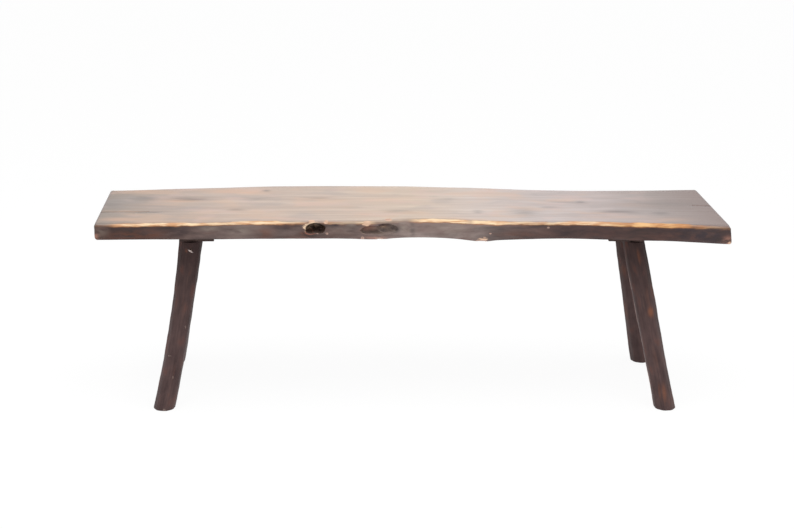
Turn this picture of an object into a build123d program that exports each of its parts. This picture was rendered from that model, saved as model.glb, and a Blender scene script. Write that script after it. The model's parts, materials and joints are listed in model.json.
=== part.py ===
from build123d import *
import os

# A rustic plank bench. One thick plank with waney long edges lies on two cross cleats. Four hewn
# legs rake outwards. Each has a round tenon that passes through a cleat into a blind mortise in
# the plank, where a hidden wedge spreads it. Cut nails hold the cleats to the plank.
# Millimetres. X runs along the bench, Y from front to back and Z up from the floor. The origin is
# on the floor under the middle of the bench.

# Seat plank
seat_height = 460.0
seat_length = 1510.0
seat_width = 360.0
seat_thickness = 38.0
seat_corner = 8.0
seat_worn_arris = 5.0
seat_under_arris = 2.0

# The plank's four long edge lines, from the left end to the right end. Each row holds the place
# along the half length, then four places across, as shares of the seat width: the front edge at
# the top face, the front edge at the underside, the back edge at the underside, and the back edge
# at the top face. The front edge hollows out in the middle and the back edge swells there.
seat_edge_shares = [
    (-1.00, -.436, -.437, .425, .425),
    (-0.94, -.431, -.435, .442, .435),
    (-0.85, -.424, -.427, .470, .457),
    (-0.75, -.408, -.427, .500, .482),
    (-0.66, -.397, -.425, .520, .502),
    (-0.57, -.380, -.418, .542, .527),
    (-0.47, -.373, -.411, .565, .552),
    (-0.38, -.370, -.407, .575, .562),
    (-0.29, -.364, -.406, .580, .566),
    (-0.19, -.358, -.410, .580, .567),
    (-0.14, -.352, -.424, .579, .566),
    (-0.10, -.336, -.418, .578, .565),
    (-0.05, -.316, -.390, .579, .566),
    (0.00, -.303, -.381, .578, .565),
    (0.05, -.302, -.384, .572, .555),
    (0.10, -.306, -.397, .563, .543),
    (0.14, -.315, -.422, .556, .536),
    (0.18, -.332, -.458, .550, .531),
    (0.21, -.346, -.480, .544, .527),
    (0.24, -.356, -.458, .536, .517),
    (0.29, -.362, -.435, .527, .506),
    (0.36, -.366, -.418, .505, .482),
    (0.43, -.371, -.406, .485, .464),
    (0.53, -.379, -.410, .468, .452),
    (0.62, -.397, -.430, .457, .446),
    (0.71, -.423, -.449, .461, .451),
    (0.81, -.435, -.464, .467, .455),
    (0.90, -.450, -.499, .478, .468),
    (1.00, -.490, -.540, .483, .480),
]

# Rotted knot hollows in the front edge, each an ellipsoid centred on the edge: its place along the
# half length, its level above the underside, its depth into the plank, and its reach along the edge
# and up and down it.
deep_hollow_place_share = -0.316
deep_hollow_level = 21.5
deep_hollow_depth = 30.0
deep_hollow_reach = 25.0
deep_hollow_rise = 11.5
shallow_hollow_place_share = -0.110
shallow_hollow_level = 18.0
shallow_hollow_depth = 14.0
shallow_hollow_reach = 45.0
shallow_hollow_rise = 15.0

# Cross cleats. The middle of each is inset from its own end of the plank, and each is nailed on a
# little askew, by an angle in degrees.
cleat_length = 225.0
cleat_width = 84.0
cleat_thickness = 18.0
cleat_arris = 2.0
cleat_forward = 4.2
cleat_inset_left = 231.5
cleat_inset_right = 233.0
cleat_skew_angle_left = 2.2
cleat_skew_angle_right = 4.0

# Legs. The foot and the top of each leg are places on its centre line. The splay and rake shares
# tell how far the foot stands outside the top, as shares of the leg's height.
leg_diameter = 53.0
leg_facets = 8
leg_facet_round_share = 0.45
leg_foot_arris = 1.5
leg_end_margin = 23.5
leg_outboard_left = 14.0
leg_outboard_right = 21.5
leg_level_shares = [0.0, 0.2, 0.46, 0.73, 1.0]

# One row for each leg: splay share, rake share, bow inwards and bow forwards as shares of the leg
# diameter, turn of the facets in degrees, and the radius shares from the foot to the top.
leg_shares = {
    "front_left": (0.170, 0.181, 0.10, 0.02, 9.0, (1.03, 0.985, 0.955, 0.985, 1.05)),
    "front_right": (0.212, 0.219, 0.02, 0.02, 20.0, (1.06, 0.985, 1.005, 1.035, 0.99)),
    "rear_left": (0.155, 0.139, 0.05, -0.02, 14.0, (1.02, 0.99, 0.97, 0.99, 1.02)),
    "rear_right": (0.197, 0.131, 0.03, -0.02, 2.0, (1.02, 1.00, 0.98, 1.00, 1.03)),
}

# Round tenon at the top of each leg, and the mortise that holds it
tenon_diameter = 28.0
tenon_depth_in_seat = 22.0
tenon_clearance = 0.1
mortise_end_gap = 0.6

# Hidden wedge in the end of each tenon. Its thin end points down.
wedge_length = 24.0
wedge_thick_end = 5.0
wedge_thin_end = 1.5
wedge_clearance = 0.05

# Cut nails
nail_length = 40.0
nail_side = 4.2
nail_tip_side = 1.6
nail_head_side = 10.0
nail_head_crown_side = 4.0
nail_head_height = 2.4
nail_clearance = 0.05
cleat_nail_count = 4
cleat_nail_inset = 10.0
cleat_nail_spread = 26.0

# Single nail through the neck of the front left leg: how far its head lies below the cleat and
# inboard of the leg's middle, how far it stands out of the leg, and the angles of its tilt from
# upright and its swing inboard, in degrees.
neck_nail_length = 45.0
neck_nail_drop = 20.0
neck_nail_inboard = 3.0
neck_nail_stand = 0.8
neck_nail_tilt_angle = 44.0
neck_nail_swing_angle = 45.0

# One overrun serves every cut.
overrun = 10.0

seat_bottom = seat_height - seat_thickness
cleat_bottom = seat_bottom - cleat_thickness
leg_radius = leg_diameter / 2
tenon_radius = tenon_diameter / 2


def edge_line(column, level):
    """One long edge of the plank, as a curve from the left end to the right end."""
    half_length = seat_length / 2
    points = [Vector(row[0] * half_length, row[column] * seat_width, level) for row in seat_edge_shares]
    return Spline(*points)


def plank_outline(front_column, back_column, level):
    """The plank's outline at one level, as a face."""
    front = edge_line(front_column, level)
    back = edge_line(back_column, level)
    left_end = Line(front @ 0, back @ 0)
    right_end = Line(front @ 1, back @ 1)
    return make_face([*front.edges(), *right_end.edges(), *back.edges(), *left_end.edges()]).face()


def across_share(column, place_share):
    """How far across the plank an edge line lies, at a share of the half length."""
    for near, far in zip(seat_edge_shares, seat_edge_shares[1:]):
        if near[0] <= place_share <= far[0]:
            along = (place_share - near[0]) / (far[0] - near[0])
            return near[column] + along * (far[column] - near[column])


def hollow(place_share, level, depth, reach, rise):
    """A rotted hollow, as an ellipsoid centred on the slope of the front edge."""
    up = level / seat_thickness
    across = (1 - up) * across_share(2, place_share) + up * across_share(1, place_share)
    ball = scale(Sphere(reach), by=(1, depth / reach, rise / reach))
    return Pos(place_share * seat_length / 2, across * seat_width, seat_bottom + level) * ball


def bare_plank():
    """The plank before its mortises and nail holes."""
    body = loft([plank_outline(2, 3, seat_bottom), plank_outline(1, 4, seat_height)], ruled=True)
    upright = [edge for edge in body.edges() if abs(edge.tangent_at(0.5).Z) > 0.5]
    body = fillet(upright, seat_corner)
    body = fillet(body.faces().sort_by(Axis.Z)[-1].edges(), seat_worn_arris)
    body = fillet(body.faces().sort_by(Axis.Z)[0].edges(), seat_under_arris)
    body -= hollow(
        deep_hollow_place_share, deep_hollow_level, deep_hollow_depth, deep_hollow_reach, deep_hollow_rise
    )
    body -= hollow(
        shallow_hollow_place_share,
        shallow_hollow_level,
        shallow_hollow_depth,
        shallow_hollow_reach,
        shallow_hollow_rise,
    )
    return body


def side_of(name):
    """-1 for a left leg or cleat, +1 for a right one."""
    return -1 if name.endswith("left") else 1


def end_of(name):
    """-1 for a front leg, +1 for a rear leg."""
    return -1 if name.startswith("front") else 1


def cleat_place(side):
    """The place of a cleat's middle at its underside, turned with the cleat's skew."""
    inset = cleat_inset_left if side < 0 else cleat_inset_right
    skew_angle = cleat_skew_angle_left if side < 0 else cleat_skew_angle_right
    along = side * (seat_length / 2 - inset)
    return Pos(along, -cleat_forward, cleat_bottom) * Rot(0, 0, -side * skew_angle)


def bare_cleat(side):
    """A cleat before its mortises and nail holes."""
    body = Box(cleat_width, cleat_length, cleat_thickness, align=(Align.CENTER, Align.CENTER, Align.MIN))
    lower = [edge for edge in body.edges() if edge.center().Z < cleat_thickness - cleat_arris]
    return cleat_place(side) * chamfer(lower, cleat_arris)


def leg_top(name):
    """The centre of a leg's shoulder, on the underside of its cleat."""
    outboard = leg_outboard_left if side_of(name) < 0 else leg_outboard_right
    along = end_of(name) * (cleat_length / 2 - leg_end_margin)
    return (cleat_place(side_of(name)) * Pos(side_of(name) * outboard, along)).position


def leg_centre(name, level_share):
    """A point on a leg's centre line, from the foot at 0 to the shoulder at 1."""
    splay_share, rake_share, bow_in_share, bow_front_share, turn, radius_shares = leg_shares[name]
    top = leg_top(name)
    fall = (1 - level_share) * cleat_bottom
    bulge = 4 * level_share * (1 - level_share) * leg_diameter
    return Vector(
        top.X + side_of(name) * (splay_share * fall - bow_in_share * bulge),
        top.Y + end_of(name) * rake_share * fall - bow_front_share * bulge,
        level_share * cleat_bottom,
    )


def leg_section(name, level_share, radius_share):
    """A level cut through a leg: a polygon of hewn facets with rounded corners."""
    turn = leg_shares[name][4]
    radius = leg_radius * radius_share
    polygon = RegularPolygon(radius, leg_facets, rotation=turn)
    rounded = fillet(polygon.vertices(), radius * leg_facet_round_share)
    return (Pos(leg_centre(name, level_share)) * rounded).face()


def tenon_plane(name):
    """A plane across a tenon at the shoulder, with its normal along the tenon."""
    top = leg_top(name)
    below = leg_centre(name, leg_level_shares[-2])
    return Plane(origin=top, x_dir=(1, 0, 0), z_dir=top - below)


def tenon_length(name):
    """The length of a tenon from its shoulder to its end, along the tenon."""
    return (cleat_thickness + tenon_depth_in_seat) / tenon_plane(name).z_dir.Z


def tenon_rod(name, radius, extra_length):
    """A round rod on a tenon's axis that starts inside the leg."""
    rod = Cylinder(
        radius, overrun + tenon_length(name) + extra_length, align=(Align.CENTER, Align.CENTER, Align.MIN)
    )
    return tenon_plane(name) * Pos(0, 0, -overrun) * rod


def mortise(name):
    """The hole for a tenon, which stops a little past the tenon's end."""
    return tenon_rod(name, tenon_radius + tenon_clearance, mortise_end_gap)


def wedge_blank(name, clearance):
    """The wedge's taper, as wide as the tenon, with its thick end at the tenon's end."""
    thick = wedge_thick_end / 2 + clearance
    thin = wedge_thin_end / 2 + clearance
    taper = Polyline(
        (-thick, 0), (thick, 0), (thin, -wedge_length - clearance), (-thin, -wedge_length - clearance), close=True
    )
    side_view = Plane.XZ * make_face(taper)
    slab = extrude(side_view, tenon_radius + overrun, both=True)
    return tenon_plane(name) * Pos(0, 0, tenon_length(name)) * slab


def wedge(name):
    """A hidden wedge, trimmed flush with its tenon."""
    return wedge_blank(name, 0) & tenon_rod(name, tenon_radius, 0)


def leg(name):
    """One leg with its tenon, split at the end for the wedge."""
    radius_shares = leg_shares[name][5]
    sections = [leg_section(name, *shares) for shares in zip(leg_level_shares, radius_shares)]
    body = loft(sections)
    body = chamfer(body.faces().sort_by(Axis.Z)[0].edges(), leg_foot_arris)
    tenon = tenon_rod(name, tenon_radius, 0)
    body += tenon
    return body - wedge_blank(name, wedge_clearance)


def nail_shank(length, clearance):
    """A tapering square shank that points up from its head at zero."""
    base = Rectangle(nail_side + 2 * clearance, nail_side + 2 * clearance)
    tip = Rectangle(nail_tip_side + 2 * clearance, nail_tip_side + 2 * clearance)
    return loft([base.face(), (Pos(0, 0, length + clearance) * tip).face()], ruled=True)


def nail(length):
    """A cut nail with a hammered head of four slopes."""
    rim = Rectangle(nail_head_side, nail_head_side)
    crown = Pos(0, 0, -nail_head_height) * Rectangle(nail_head_crown_side, nail_head_crown_side)
    head = loft([rim.face(), crown.face()], ruled=True)
    return head + nail_shank(length, 0)


def sunk_nail_room(length):
    """The room for a nail whose head lies in a dent, open to the outside."""
    side = nail_head_side + 2 * nail_clearance
    dent = Box(side, side, nail_head_height + overrun, align=(Align.CENTER, Align.CENTER, Align.MAX))
    return Pos(0, 0, nail_clearance) * dent + nail_shank(length, nail_clearance)


def cleat_nail_places(side):
    """The nails of one cleat: a staggered row between the two legs."""
    row_length = cleat_length - 2 * leg_end_margin - leg_diameter - 2 * cleat_nail_inset
    places = []
    for count in range(cleat_nail_count):
        across = (-1) ** count * cleat_nail_spread / 2
        along = (count / (cleat_nail_count - 1) - 1 / 2) * row_length
        places.append(cleat_place(side) * Pos(across, along))
    return places


def neck_nail_place():
    """The place of the nail in the front left leg, with its shank pointing up into the cleat."""
    name = "front_left"
    level_share = (cleat_bottom - neck_nail_drop) / cleat_bottom
    centre = leg_centre(name, level_share)
    out = leg_radius + neck_nail_stand
    on_leg = Vector(centre.X + neck_nail_inboard, centre.Y - out, centre.Z)
    return Pos(on_leg) * Rot(0, 0, -neck_nail_swing_angle) * Rot(-neck_nail_tilt_angle, 0, 0)


def save(node, shape):
    """Write one node's solids to its own file."""
    shape.label = node
    export_step(shape, os.path.join("parts", node + ".step"))


os.makedirs("parts", exist_ok=True)

plank = bare_plank()
cleats = {-1: bare_cleat(-1), 1: bare_cleat(1)}
legs = {name: leg(name) for name in leg_shares}

for name in leg_shares:
    hole = mortise(name)
    plank -= hole
    cleats[side_of(name)] -= hole
    save("wedge_" + name, wedge(name))

for side, side_name in ((-1, "left"), (1, "right")):
    nails = []
    for place in cleat_nail_places(side):
        hole = place * nail_shank(nail_length, nail_clearance)
        plank -= hole
        cleats[side] -= hole
        nails.append(place * nail(nail_length))
    save("cleat_nails_" + side_name, Compound(children=nails))

neck_hole = neck_nail_place() * sunk_nail_room(neck_nail_length)
legs["front_left"] -= neck_hole
cleats[-1] -= neck_hole
save("leg_nail_front_left", neck_nail_place() * nail(neck_nail_length))

save("seat_plank", plank)
save("cleat_left", cleats[-1])
save("cleat_right", cleats[1])
for name, shape in legs.items():
    save("leg_" + name, shape)
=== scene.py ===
import json
import math
from functools import partial

import bmesh
import bpy
from mathutils import Matrix, Vector
from mathutils.bvhtree import BVHTree

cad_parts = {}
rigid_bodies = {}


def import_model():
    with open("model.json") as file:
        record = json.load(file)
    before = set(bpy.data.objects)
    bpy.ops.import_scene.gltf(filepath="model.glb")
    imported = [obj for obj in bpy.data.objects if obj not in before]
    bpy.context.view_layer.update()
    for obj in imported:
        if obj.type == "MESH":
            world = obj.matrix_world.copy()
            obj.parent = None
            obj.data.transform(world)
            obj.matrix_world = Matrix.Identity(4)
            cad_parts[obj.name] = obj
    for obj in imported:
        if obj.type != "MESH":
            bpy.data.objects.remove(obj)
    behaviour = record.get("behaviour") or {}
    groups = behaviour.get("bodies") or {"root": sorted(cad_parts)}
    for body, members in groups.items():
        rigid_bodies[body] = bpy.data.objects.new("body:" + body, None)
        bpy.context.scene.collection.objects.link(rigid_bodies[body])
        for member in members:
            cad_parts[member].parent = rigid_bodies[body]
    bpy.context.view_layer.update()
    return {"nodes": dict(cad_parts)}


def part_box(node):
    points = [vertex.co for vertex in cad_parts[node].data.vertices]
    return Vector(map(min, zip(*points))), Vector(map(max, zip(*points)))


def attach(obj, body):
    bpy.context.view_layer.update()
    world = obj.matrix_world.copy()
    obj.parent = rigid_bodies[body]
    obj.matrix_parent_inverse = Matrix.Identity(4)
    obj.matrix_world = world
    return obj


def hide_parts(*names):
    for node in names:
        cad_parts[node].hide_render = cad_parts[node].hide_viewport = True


# A rustic plank bench: a thick waxed plank with waney edges, on two sawn cleats and four hewn legs.
# Metres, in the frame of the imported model: X along the bench, Y to the back, Z up from the floor.

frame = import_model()
nodes = frame["nodes"]

MM = 0.001

# Camera, fitted to the plank and the feet. The lens share is the focal length over the image width.
CAMERA_PLACE = Vector((-244.3, -3559.0, 1447.0)) * MM
CAMERA_YAW = math.radians(3.40)
CAMERA_PITCH = math.radians(17.685)
CAMERA_ROLL = math.radians(0.99)
SENSOR_WIDTH = 36.0
LENS_SHARE = 1500 / 794

# Light: one large soft lamp, and how strongly the white world and floor shine. A small share of the
# floor is true paint, which takes the bench's shadow.
SOFTBOX_PLACE = (0, -0.3, 2.6)
SOFTBOX_SIZE = (3.0, 1.6)
SOFTBOX_POWER = 38.0
WORLD_LIGHT = 0.62
FLOOR_GLOW = 1.03
FLOOR_PAINT = 0.10

# Plank. Its corners are read from the frame at stations along it, just clear of its rounded edges.
PLANK_LOW, PLANK_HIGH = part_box("seat_plank")
PLANK_LENGTH = PLANK_HIGH.x - PLANK_LOW.x
PLANK_THICKNESS = PLANK_HIGH.z - PLANK_LOW.z
STATION_CUTS = 74
READ_BELOW_TOP = 4.7 * MM
READ_ABOVE_UNDERSIDE = 2.4 * MM
READ_FROM_END = 9 * MM
PLANK_ARRIS = 14 * MM
ARRIS_SHARES = {
    "front": 0.57, "back": 0.36, "ends": 0.50,
    "front_corners": 0.60, "back_corners": 1.0, "end_under": 0.55,
}
UNDER_ARRIS = 0.9 * MM
FRONT_BELLY = 2.5 * MM
LENGTH_CUTS = 4
ACROSS_CUTS = 22
DOWN_CUTS = 8

# Roughness of the natural edges: size and depth in mm, stretch and start. The level is the share of
# the pattern that sinks in, and the rest stands out.
EDGE_ROUGHNESS = [(42, 2.6, (1.8, 1, 0.8), 0.0), (11, 1.3, (2.6, 1, 0.7), 0.3)]
EDGE_LEVELS = {"front": 0.42, "back": 0.75}

# Roughness of the plank's other faces: group, then size and depth in mm, stretch and start
PLANK_ROUGHNESS = [
    ("arris", 16, 1.8, (1.5, 1, 1), 0.7), ("top", 70, 0.9, (3, 1, 1), 0.0),
    ("under", 9, 0.7, (1, 6, 1), 0.0), ("ends", 9, 0.6, (1, 1, 1), 0.0),
]

# Rotted knot hollows in the front edge, each from a few rugged bites: place along, level above the
# underside, then the reach along the edge, into the plank and up and down
HOLLOWS = {
    "pit_deep": [(-236, 23, (23, 30, 11)), (-248, 18, (12, 24, 7.5)), (-226, 18, (12, 22, 7.5))],
    "pit_shallow": [(-88, 18, (36, 8, 13)), (-62, 21, (25, 9, 13)), (-112, 17, (17, 6, 11))],
}
HOLLOW_ROOM = 1.12
NEAR_HOLLOW = 70 * MM

# The raised lip round the deep hollow: where its crest lies and how wide it is, as shares of the
# bites' reach, how far left of the hollow's middle it has grown to its full rise, and the share of
# it that stands on the right
LIP_RISE = 2.2 * MM
LIP_RING = 1.25
LIP_WIDTH = 0.35
LIP_LEFT = 15 * MM
LIP_ON_RIGHT = 0.35

# Drying cracks that open at the plank's ends: which end, place across, length, width at the end and
# how far the crack wanders sideways. Each is cut by a waved blade that starts past the end.
CRACKS = [
    (-1, -57 * MM, 150 * MM, 1.8 * MM, 7 * MM),
    (1, 9 * MM, 62 * MM, 1.2 * MM, 2 * MM),
]
CRACK_DEPTH = 15 * MM
CRACK_PAST = 4 * MM
CRACK_CUTS = 9
CRACK_TIP_WIDTH = 0.06
CRACK_TIP_DEPTH = 0.35
CRACK_WAVE = 0.9 * MM
CRACK_TURN = 7 * MM

# Patches in the top: place along and across, reach along and across, strength
TOP_PATCHES = {
    "stain": [
        (-652, -51, 56, 5, 0.85), (-659, 71, 34, 20, 0.5), (-548, 71, 50, 15, 0.9),
        (-733, 20, 34, 34, 0.45), (-380, 77, 34, 13, 0.62), (-360, 149, 9, 8, 0.9),
        (-430, -23, 26, 12, 0.6), (-229, 80, 36, 7, 0.95), (-151, -6, 26, 9, 0.35),
        (-28, -41, 36, 12, 0.8), (94, 71, 30, 10, 0.35), (160, -45, 12, 14, 0.42),
        (275, -54, 34, 44, 0.36), (342, -3, 26, 10, 0.35), (427, 44, 16, 11, 0.75), (400, 46, 44, 5, 0.5),
        (509, -43, 48, 13, 0.8), (626, 26, 84, 15, 0.7), (608, -57, 22, 13, 0.45),
    ],
    "glow": [
        (-571, 57, 44, 16, 0.7), (-452, 145, 60, 18, 0.7), (-395, 135, 60, 16, 0.6),
        (-615, 5, 44, 14, 0.5), (-680, 150, 60, 18, 0.35), (-700, -115, 44, 14, 0.5),
        (-330, -100, 70, 16, 0.3), (-120, -70, 26, 24, 0.4), (-60, 60, 80, 24, 0.3),
        (480, -90, 90, 14, 0.3), (560, 20, 60, 12, 0.3), (620, -110, 50, 16, 0.2),
    ],
}

# Patches on the natural front edge: place along, level, reach along and up, strength
FRONT_PATCHES = {
    "tan": [
        (-115, 454, 12, 4.5, 1.05), (160, 427, 13, 4, 0.8), (-245, 458, 8, 4, 1.1), (-211, 457, 6, 4, 1),
        (-61, 459, 9, 3, 1.1), (748, 424, 5, 4, 0.8),
    ],
    "blush": [
        (746, 428, 12, 9, 1), (-752, 429, 7, 9, 0.8), (-95, 425, 30, 3, 0.5), (-107, 443, 18, 7, 0.45),
    ],
    "russet": [
        (-652, 434, 75, 9, 0.7), (-356, 436, 22, 10, 0.5), (-264, 432, 9, 6, 0.7),
        (-106, 449, 14, 4, 0.7), (250, 432, 44, 6, 0.4),
    ],
    "grey": [
        (-738, 442, 16, 14, 0.4), (-486, 446, 22, 6, 0.7), (-412, 440, 26, 10, 0.6),
        (-172, 440, 30, 10, 0.3), (-22, 442, 24, 16, 0.7), (90, 440, 60, 14, 0.4), (-77, 438, 11, 8, 0.5),
        (-150, 454, 22, 6, 0.6), (-72, 456, 14, 4, 0.9), (-92, 444.5, 12, 5, 0.7),
    ],
    # Sooty patches; the two in the shallow hollow, at -80 and -46 along, are painted shadow under its
    # upper lip
    "soot_and_shadow": [
        (-556, 438, 34, 12, 0.6), (-310, 445, 18, 8, 0.4), (-187, 452, 12, 4, 0.9), (-5, 440, 6, 16, 0.5),
        (400, 440, 120, 16, 0.4), (680, 440, 90, 18, 0.9), (-80, 449.5, 24, 4.5, 1),
        (-46, 440, 11, 7, 0.95),
    ],
}

# Nicks in the plank's front edge that show bare wood: place along, level, reach along, in and up
PLANK_NICKS = [
    (155, 423.5, (14, 3, 4)), (-209, 433, (3, 2, 2)), (-231, 434, (5, 2, 2)), (179, 436, (3, 2, 1.5)),
    (320, 447, (3, 2, 1.5)), (-125, 424.5, (4, 3, 3)), (-86, 423.5, (9, 3, 2.5)), (-64, 459, (8, 3, 2.5)),
]

# Along the front edge, by place as a share of the half length: how bare the arris is worn, how pale
# the natural edge below it is, how much brighter the bare wood is, and how many mm wider its band is
FRONT_WEAR = [
    (-1, 0.1, 0, 0, 0), (-0.97, 0.1, 0, 0, 0), (-0.95, 0.28, 0, -0.05, 0), (-0.925, 0.95, 0.05, -0.1, 1),
    (-0.87, 1, 0.05, -0.12, 1), (-0.835, 1, 0.05, 0.14, 1.5), (-0.78, 1, 0.12, 0.14, 2),
    (-0.755, 1, 0.18, 0, 1.5), (-0.7, 1, 0.25, 0.05, 0), (-0.67, 0.9, 0.3, -0.12, 0),
    (-0.64, 0.8, 0.35, 0, 0), (-0.58, 0.8, 0.38, 0, 0), (-0.55, 0.85, 0.4, 0, 3), (-0.5, 0.9, 0.38, 0, 5),
    (-0.44, 0.9, 0.35, -0.05, 5), (-0.42, 0.8, 0.35, -0.05, 2), (-0.395, 0.55, 0.33, 0, 0),
    (-0.36, 0.45, 0.3, 0, 0), (-0.33, 0.12, 0.3, 0, 0), (-0.29, 0.12, 0.3, 0, 0), (-0.27, 0.4, 0.3, 0, 0),
    (-0.25, 0.3, 0.3, 0, 0), (-0.19, 0.22, 0.3, 0, 0), (-0.165, 0.5, 0.3, 0, 0),
    (-0.14, 0.45, 0.36, 0, 0), (-0.12, 0.12, 0.4, 0, 0), (-0.02, 0.1, 0.75, 0, 0), (0, 0.45, 0.8, 0.1, 0),
    (0.03, 0.85, 0.85, 0.15, 0.5), (0.09, 0.9, 0.9, 0.12, 0.5), (0.148, 0.95, 0.75, 0.15, 0),
    (0.178, 0.5, 0.6, -0.05, 0), (0.195, 0.9, 0.5, 0, 1), (0.24, 0.95, 0.35, 0, 2),
    (0.27, 0.95, 0.25, 0, 1), (0.3, 0.75, 0.2, 0, 0), (0.36, 0.58, 0.12, 0, 0), (0.44, 0.62, 0.06, 0, 0),
    (0.47, 0.8, 0.05, -0.1, 1.5), (0.49, 0.9, 0.05, -0.12, 3), (0.515, 0.9, 0.05, 0, 5),
    (0.6, 0.9, 0, 0, 5.5), (0.66, 0.85, 0, 0, 5), (0.684, 0.8, 0, -0.08, 5), (0.7, 1, 0, 0.1, 9),
    (0.715, 1, 0, 0.1, 11), (0.75, 1, 0, -0.05, 8.5), (0.8, 1, 0, 0, 6.5), (0.853, 1, 0, -0.05, 6.5),
    (0.87, 0.7, 0, -0.1, 4), (0.881, 0.32, 0, -0.05, 0), (0.91, 0.45, 0, -0.05, 1),
    (0.938, 0.25, 0, 0, 0), (0.966, 0.18, 0, 0, 0), (1, 0.08, 0, 0, 0),
]
BACK_WEAR = 0.12
END_WEAR = 0.0
BACK_PALE = 0.15

# Cleats. Their middles are read from the frame. The cuts are along, across and down.
CLEAT_SIZE = Vector((84, 225, 18)) * MM
CLEAT_ARRIS = 2 * MM
CLEAT_CUTS = (45, 16, 3)
CLEAT_TURN = {"cleat_left": math.radians(2.2), "cleat_right": math.radians(-4.0)}

# Legs. Their centre lines and thickness are read from the frame, level by level, and so is the line
# of each tenon, just over the shoulder and below its end.
LEG_LEVELS = 20
LEG_FACETS = 8
LEG_TURN = {
    "leg_front_left": math.radians(9),
    "leg_front_right": math.radians(29),
    "leg_rear_left": math.radians(14),
    "leg_rear_right": math.radians(2),
}
FACET_ANGLE = 2 * math.pi / LEG_FACETS
LEG_ROUND_SHARE = 0.45
LEG_CUTS = 4
LEG_SWELLS = (0.4 * MM, 1.7 * MM)
LEG_LEVEL = 0.5
LEG_ARRIS = 5 * MM
FOOT_ARRIS = 1.5 * MM
TENON_RADIUS = 14 * MM
TENON_SIDES = 32
TENON_ROOT = 10 * MM
TENON_READ_LOW = 5 * MM
TENON_READ_HIGH = 10 * MM
TENON_END_DROP = 4 * MM
MORTISE_ROOM = 0.1 * MM
MORTISE_END_ROOM = 0.6 * MM

# Nicks in the legs that show bare wood: place along, level, reach along, in and up
LEG_NICKS = {
    "leg_front_left": [
        (-587, 133, (4.5, 2.5, 1.2)), (-579, 82, (1.1, 1.5, 3.5)), (-548, 201, (1.3, 1.5, 3)),
        (-601, 3, (3, 4, 3)),
    ],
}

# Warm patches on the legs, where the stain is thin: place along, level, reach along and up, lean
# with the leg, strength
LEG_PATCHES = {
    "leg_front_left": [
        (-543, 384, 5, 6, 0, 0.6), (-560, 350, 9, 16, 0, 0.2), (-577, 95, 7, 34, -0.15, 0.4),
        (-552, 250, 8, 45, -0.1, 0.3),
    ],
    "leg_front_right": [
        (578, 238, 10, 15, 0.1, 0.85), (546, 371, 6, 26, 0.22, 0.6), (616, 44, 8, 32, 0.12, 0.65),
        (604, 50, 4, 30, 0.1, 0.55), (570, 270, 9, 45, 0.2, 0.35), (592, 130, 10, 45, 0.2, 0.35),
    ],
    "leg_rear_left": [(-570, 150, 9, 45, 0, 0.3)],
    "leg_rear_right": [(555, 268, 12, 22, 0.1, 0.45), (575, 150, 9, 45, 0.2, 0.4)],
}

# The arris that carries a painted highlight, a pale line down its whole length, counted from the turn of
# the leg
HIGHLIT_ARRIS = {"leg_front_right": 3}


def colour(code):
    """The linear colour of an sRGB hex code."""
    channels = [int(code[i:i + 2], 16) / 255 for i in (0, 2, 4)]
    linear = [c / 12.92 if c <= 0.04045 else ((c + 0.055) / 1.055) ** 2.4 for c in channels]
    return (*linear, 1.0)


def between(rows, place):
    """The values beside a place in rows that start with their own place, blended evenly."""
    place = min(max(place, rows[0][0]), rows[-1][0])
    for near, far in zip(rows, rows[1:]):
        if place <= far[0]:
            share = (place - near[0]) / (far[0] - near[0])
            return [a + share * (b - a) for a, b in zip(near[1:], far[1:])]


def pick(piece):
    """Leave edit mode, and make one piece the only selected and active one."""
    if bpy.context.object and bpy.context.object.mode != "OBJECT":
        bpy.ops.object.mode_set(mode="OBJECT")
    bpy.ops.object.select_all(action="DESELECT")
    if piece:
        piece.select_set(True)
        bpy.context.view_layer.objects.active = piece


def named(name):
    """Name the piece that was just added, with its place put into its mesh."""
    piece = bpy.context.object
    piece.name = piece.data.name = name
    bpy.ops.object.transform_apply(location=True, rotation=True, scale=True)
    return piece


def edit(piece):
    """Open a piece for editing with nothing in it selected."""
    pick(piece)
    bpy.ops.object.mode_set(mode="EDIT")
    bpy.ops.mesh.select_all(action="DESELECT")


def select(piece, kind, test):
    """In edit mode, select just the verts, edges or faces that pass a test."""
    bpy.ops.mesh.select_mode(type={"verts": "VERT", "edges": "EDGE", "faces": "FACE"}[kind])
    bpy.ops.mesh.select_all(action="DESELECT")
    mesh = bmesh.from_edit_mesh(piece.data)
    for item in getattr(mesh, kind):
        if test(item):
            item.select_set(True)
    bmesh.update_edit_mesh(piece.data)


def cut_edges(piece, cuts, test):
    """In edit mode, cut the edges that pass a test into even parts."""
    select(piece, "edges", test)
    bpy.ops.mesh.subdivide(number_cuts=cuts)


def split_quads():
    """In edit mode, split every face into triangles."""
    bpy.ops.mesh.select_all(action="SELECT")
    bpy.ops.mesh.quads_convert_to_tris()


def span(edge):
    """How far an edge reaches along X, Y and Z."""
    a, b = (v.co for v in edge.verts)
    return Vector([abs(b[i] - a[i]) for i in range(3)])


def group(piece, name, weigh):
    """Name a group of a piece's points, with weights by their place and normal."""
    made = piece.vertex_groups.new(name=name)
    for vertex in piece.data.vertices:
        weight = float(weigh(vertex.co, vertex.normal))
        if weight > 0:
            made.add([vertex.index], weight, "REPLACE")


def apply_all(piece):
    """Apply a piece's modifiers in order."""
    pick(piece)
    for modifier in list(piece.modifiers):
        bpy.ops.object.modifier_apply(modifier=modifier.name)


def push(piece, points, distance, way="NORMAL"):
    """Move a group of a piece's points along their normals or an axis."""
    modifier = piece.modifiers.new("push", "DISPLACE")
    modifier.mid_level = 0
    modifier.strength = distance
    modifier.direction = way
    modifier.vertex_group = points
    apply_all(piece)


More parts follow.
